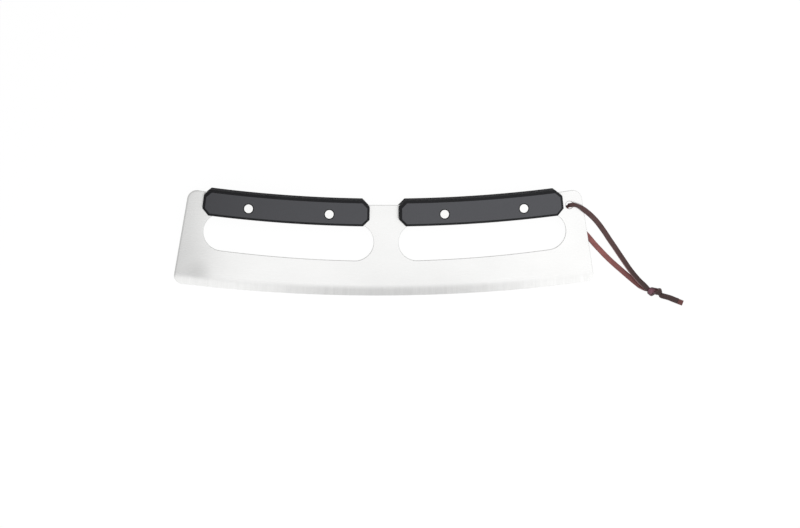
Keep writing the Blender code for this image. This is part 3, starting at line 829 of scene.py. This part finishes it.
def slot_outline(side, spread):
    half = SLOT_HEIGHT / 2
    radius = half + spread
    inner_angle = math.asin((SLOT_INNER_X + half) / SLOT_MID_RADIUS) - math.pi / 2
    outer_angle = math.asin((SLOT_OUTER_X - half) / SLOT_MID_RADIUS) - math.pi / 2
    inner = arc(TOP_CENTRE, SLOT_MID_RADIUS, inner_angle, inner_angle, 1)[0]
    outer = arc(TOP_CENTRE, SLOT_MID_RADIUS, outer_angle, outer_angle, 1)[0]
    points = arc(TOP_CENTRE, SLOT_MID_RADIUS + radius, inner_angle, outer_angle, SLOT_SEGMENTS)
    points += arc(outer, radius, outer_angle, outer_angle + math.pi, SLOT_END_SEGMENTS)[1:]
    points += arc(TOP_CENTRE, SLOT_MID_RADIUS - radius, outer_angle, inner_angle, SLOT_SEGMENTS)[1:]
    points += arc(inner, radius, inner_angle + math.pi, inner_angle + 2 * math.pi, SLOT_END_SEGMENTS)[1:-1]
    return [Vector((side * point.x, point.y)) for point in points]


def circle(centre, radius):
    return arc(centre, radius, 0.0, 2 * math.pi, ROUND_SEGMENTS)[:-1]


def rounding():
    """Steps of a rounded edge: how far in each is, and how far below the face."""
    steps = []
    for i in range(ROUND_STEPS + 1):
        angle = i / ROUND_STEPS * math.pi / 2
        steps.append((EDGE_ROUND * (1 - math.sin(angle)), EDGE_ROUND * (1 - math.cos(angle))))
    return steps


def plate_rings(outline):
    """From the plate's front face over its two rounded edges to its back face."""
    upper = [at_depth(outline(inset), HALF_PLATE - drop) for inset, drop in rounding()]
    lower = [at_depth(outline(inset), drop - HALF_PLATE) for inset, drop in rounding()]
    return upper + lower[::-1]


def opening_rings(outline):
    """A cutter through the plate that rounds the opening's two edges as well."""
    beyond = HALF_PLATE + CUT_MARGIN
    return ([at_depth(outline(EDGE_ROUND), beyond)] + plate_rings(outline)
            + [at_depth(outline(EDGE_ROUND), -beyond)])


def hole_centre():
    x = HALF_WIDTH - HOLE_INSET
    top_edge = TOP_CENTRE.y - math.sqrt(TOP_RADIUS ** 2 - x ** 2)
    return Vector((x, top_edge - HOLE_DROP))


def grind_depth(fall):
    """How deep the grinding is, at this distance below its upper line."""
    slope = (HALF_PLATE - EDGE_THICKNESS / 2) / (GRIND_HEIGHT - GRIND_BLEND / 2)
    if fall < GRIND_BLEND:
        return slope * fall ** 2 / (2 * GRIND_BLEND)
    return slope * (fall - GRIND_BLEND / 2)


def grind_cutter(name, face, material):
    first = math.sqrt(GRIND_START * 2 * GRIND_BLEND)
    falls = [first + (GRIND_BLEND - first) * i / GRIND_STEPS for i in range(GRIND_STEPS + 1)]
    falls.append(GRIND_HEIGHT + CUT_MARGIN)
    section = [(GRIND_LINE + fall, HALF_PLATE - grind_depth(fall)) for fall in falls]
    section += [(EDGE_RADIUS + CUT_MARGIN, HALF_PLATE + CUT_MARGIN),
                (GRIND_LINE - CUT_MARGIN, HALF_PLATE + CUT_MARGIN),
                (GRIND_LINE - CUT_MARGIN, HALF_PLATE + GRIND_START)]
    reach = math.asin(HALF_WIDTH / EDGE_RADIUS) * GRIND_OVERRUN
    rings = []
    for i in range(2 * EDGE_SEGMENTS + 1):
        angle = reach * (i / EDGE_SEGMENTS - 1)
        rings.append([Vector((radius * math.sin(angle), EDGE_RADIUS - radius * math.cos(angle), face * w))
                      for radius, w in section])
    return loft(name, rings, material)


def tube_rings(centre, face, profile):
    return [at_depth(circle(centre, radius), face * w) for radius, w in profile]


def bend(along, up):
    angle = along / GRIP_MID_RADIUS
    radius = GRIP_MID_RADIUS - up
    return Vector((radius * math.sin(angle), GRIP_CENTRE_V - radius * math.cos(angle)))


def rivets_middle(side):
    return side * GRIP_MID_RADIUS * math.asin(SLOT_MIDDLE_X / GRIP_MID_RADIUS)


def rivet_centre(side, step):
    return bend(rivets_middle(side) + side * step * RIVET_SPACING / 2, -RIVET_DROP)


def scale_outline(side, inset):
    middle = rivets_middle(side) - GRIP_SHIFT
    end = GRIP_LENGTH / 2 - inset
    half = GRIP_HEIGHT / 2 - inset
    corner = SCALE_CORNER_CUT - inset * (2 - math.sqrt(2))
    straight = [-1 + 2 * i / GRIP_SEGMENTS for i in range(GRIP_SEGMENTS + 1)]
    points = [bend(middle + part * (end - corner), -half) for part in straight]
    points += [bend(middle + end, corner - half), bend(middle + end, half - corner)]
    points += [bend(middle - part * (end - corner), half) for part in straight]
    points += [bend(middle - end, half - corner), bend(middle - end, corner - half)]
    return points


def make_blade():
    material = blade_steel()
    blade = loft("blade_plate", plate_rings(plate_outline), material)
    cutters = [grind_cutter("grind_" + word, face, material) for word, face in FACES.items()]
    tube = RIVET_TUBE_DIAMETER / 2 + FIT_GAP
    beyond = HALF_PLATE + CUT_MARGIN
    for word, side in SIDES.items():
        cutters.append(loft("slot_" + word, opening_rings(lambda spread: slot_outline(side, spread)), material))
        for place, step in PLACES.items():
            rings = tube_rings(rivet_centre(side, step), 1, ((tube, -beyond), (tube, beyond)))
            cutters.append(loft(f"tang_{word}_{place}", rings, material))
    hole = hole_centre()
    cutters.append(loft("lace_hole", opening_rings(lambda spread: circle(hole, HOLE_DIAMETER / 2 + spread)),
                        material))
    cut_all(blade, cutters)
    shade(blade, BLADE_SHARP_ANGLE)
    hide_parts("blade")
    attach(blade, "knife")


def seat_profile():
    """Radius and depth of a rivet's hole and seat in a scale, from inside to beyond its face."""
    tube = RIVET_TUBE_DIAMETER / 2 + FIT_GAP
    head = RIVET_HEAD_DIAMETER / 2 + FIT_GAP
    seat = RIVET_SEAT_W - FIT_GAP
    return ((tube, SCALE_INNER_W - CUT_MARGIN), (tube, seat), (head, seat),
            (head, SCALE_OUTER_W - RIVET_SEAT_LIP), (head + RIVET_SEAT_LIP, SCALE_OUTER_W),
            (head + RIVET_SEAT_LIP, SCALE_OUTER_W + CUT_MARGIN))


def make_scale(word, side, face_word, face, materials):
    rings = [at_depth(scale_outline(side, 0.0), face * SCALE_INNER_W),
             at_depth(scale_outline(side, 0.0), face * (SCALE_OUTER_W - SCALE_CHAMFER)),
             at_depth(scale_outline(side, SCALE_CHAMFER), face * SCALE_OUTER_W)]
    scale = loft(f"{word}_{face_word}_grip", rings, materials[0])
    rounded = scale.modifiers.new("rounded", "BEVEL")
    rounded.limit_method = "ANGLE"
    rounded.angle_limit = ROUND_FROM_ANGLE
    rounded.width = SCALE_ROUND
    rounded.segments = ROUND_STEPS
    rounded.offset_type = "OFFSET"
    cutters = [loft(f"seat_{place}", tube_rings(rivet_centre(side, step), face, seat_profile()), materials[0])
               for place, step in PLACES.items()]
    cut_all(scale, cutters)
    scale.data.materials.clear()
    for material in materials:
        scale.data.materials.append(material)
    for polygon in scale.data.polygons:
        polygon.material_index = 0 if abs(polygon.normal.z) > FACE_SLOPE else 1
    shade(scale, GRIP_SHARP_ANGLE)
    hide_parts(f"{word}_{face_word}_scale")
    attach(scale, "knife")


def make_grips():
    materials = [grip_plastic(name, *look) for name, look in GRIP_LOOKS.items()]
    for word, side in SIDES.items():
        for face_word, face in FACES.items():
            make_scale(word, side, face_word, face, materials)


def dress_rivets():
    material = rivet_steel()
    for word in SIDES:
        for place in PLACES:
            for face_word in FACES:
                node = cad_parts[f"{word}_{place}_rivet_{face_word}"]
                node.data.materials.clear()
                node.data.materials.append(material)


# Camera, light and floor

def add_camera():
    data = bpy.data.cameras.new("camera")
    data.sensor_fit = "HORIZONTAL"
    data.sensor_width = SENSOR_WIDTH
    data.lens = FOCAL_PIXELS / IMAGE_WIDTH * SENSOR_WIDTH
    data.clip_end = 20.0
    camera = bpy.data.objects.new("camera", data)
    camera.location = CAMERA_PLACE
    camera.rotation_euler = CAMERA_TURN
    bpy.context.scene.collection.objects.link(camera)
    bpy.context.scene.camera = camera


def add_world():
    """A bright overcast ceiling that falls off towards the horizon."""
    world = bpy.data.worlds.new("studio")
    world.use_nodes = True
    bpy.context.scene.world = world
    nodes = world.node_tree.nodes
    links = world.node_tree.links
    background = nodes["Background"]
    way = separated(nodes, links, nodes.new("ShaderNodeTexCoord").outputs["Generated"])
    strength = ranged(nodes, links, way.outputs["Z"], 0.0, 1.0, HORIZON_LIGHT, ZENITH_LIGHT, smooth=True)
    links.new(strength, background.inputs["Strength"])
    background.inputs["Color"].default_value = (1.0, 1.0, 1.0, 1.0)


def floor_material():
    """Light for the camera and for what mirrors it, and plain matt for the rest of the light."""
    material, nodes, links, shader = new_material("floor")
    shader.inputs["Base Color"].default_value = (0.8, 0.8, 0.8, 1.0)
    shader.inputs["Roughness"].default_value = 0.9
    glow = nodes.new("ShaderNodeEmission")
    glow.inputs["Strength"].default_value = GLOW_STRENGTH
    path = nodes.new("ShaderNodeLightPath")
    seen = math_node(nodes, links, "MAXIMUM", path.outputs["Is Camera Ray"],
                     math_node(nodes, links, "MAXIMUM", path.outputs["Is Glossy Ray"],
                               path.outputs["Is Transmission Ray"]))
    mix = nodes.new("ShaderNodeMixShader")
    links.new(math_node(nodes, links, "MULTIPLY", seen, FLOOR_GLOW), mix.inputs["Fac"])
    links.new(shader.outputs["BSDF"], mix.inputs[1])
    links.new(glow.outputs["Emission"], mix.inputs[2])
    links.new(mix.outputs["Shader"], nodes["Material Output"].inputs["Surface"])
    return material


def add_floor():
    """A round floor with a low backdrop all round it."""
    outline = circle(Vector((0.0, 0.0)), FLOOR_RADIUS)
    shape = bmesh.new()
    inner, outer = [[shape.verts.new(point) for point in at_depth(outline, z)]
                    for z in (FLOOR_DROP, BACKDROP_HEIGHT)]
    shape.faces.new(inner)
    for i in range(ROUND_SEGMENTS):
        j = (i + 1) % ROUND_SEGMENTS
        shape.faces.new((inner[i], inner[j], outer[j], outer[i]))
    added("floor", shape, [floor_material()])


def add_panels():
    for name, (radiance, left, right, front, back, height) in PANELS.items():
        data = bpy.data.lights.new(name, "AREA")
        data.shape = "RECTANGLE"
        data.size = right - left
        data.size_y = back - front
        data.energy = radiance * math.pi * data.size * data.size_y
        light = bpy.data.objects.new(name, data)
        light.location = ((left + right) / 2, (front + back) / 2, height)
        light.visible_camera = False
        bpy.context.scene.collection.objects.link(light)


def main():
    bpy.context.scene.view_settings.view_transform = "Standard"
    add_camera()
    make_laces()
    make_blade()
    make_grips()
    dress_rivets()
    add_world()
    add_floor()
    add_panels()


main()
